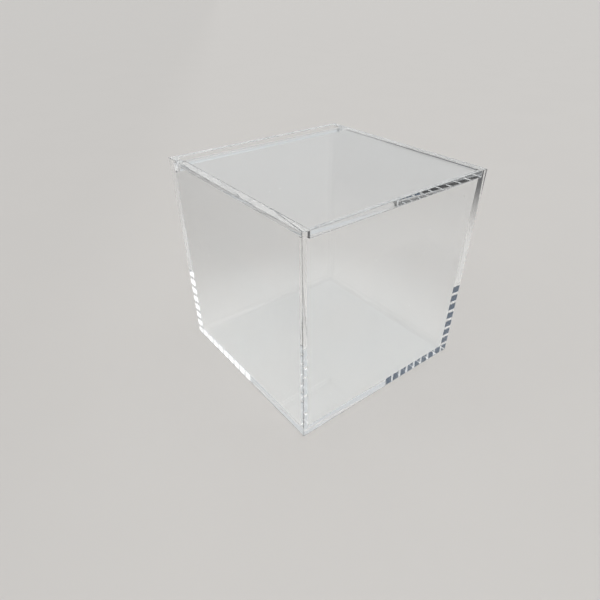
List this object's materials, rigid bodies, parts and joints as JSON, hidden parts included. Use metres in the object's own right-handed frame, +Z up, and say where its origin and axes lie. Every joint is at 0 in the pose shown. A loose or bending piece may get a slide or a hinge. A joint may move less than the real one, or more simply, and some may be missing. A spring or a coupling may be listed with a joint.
{
  "type": "display box",
  "caption": "Clear acrylic cube display box of cemented sheets, with a flush lid that turns up and back on a clear rod between the side walls.",
  "frame": {"origin": "middle of the underside of the base, on the surface that the box stands on", "axes": "+Z up, +X to the right and -Y to the front, with the hinge along X at the rear"},
  "size_m": [0.15, 0.15, 0.15],
  "materials": {
    "clear_sheet": "clear cast acrylic sheet, polished edges",
    "clear_lid": "clear cast acrylic sheet, polished edges",
    "clear_rod": "clear extruded acrylic rod"
  },
  "bodies": {
    "case": {"base_panel": "clear_sheet", "left_side_panel": "clear_sheet", "right_side_panel": "clear_sheet", "front_panel": "clear_sheet", "rear_panel": "clear_sheet"},
    "lid": {"lid_panel": "clear_lid", "hinge_rod": "clear_rod"}
  },
  "joints": [
    {"name": "lid_hinge", "type": "hinge", "parent": "case", "child": "lid", "pos_m": [0, 0.065, 0.1455], "axis": [-1, 0, 0], "range_deg": [0, 95]}
  ]
}
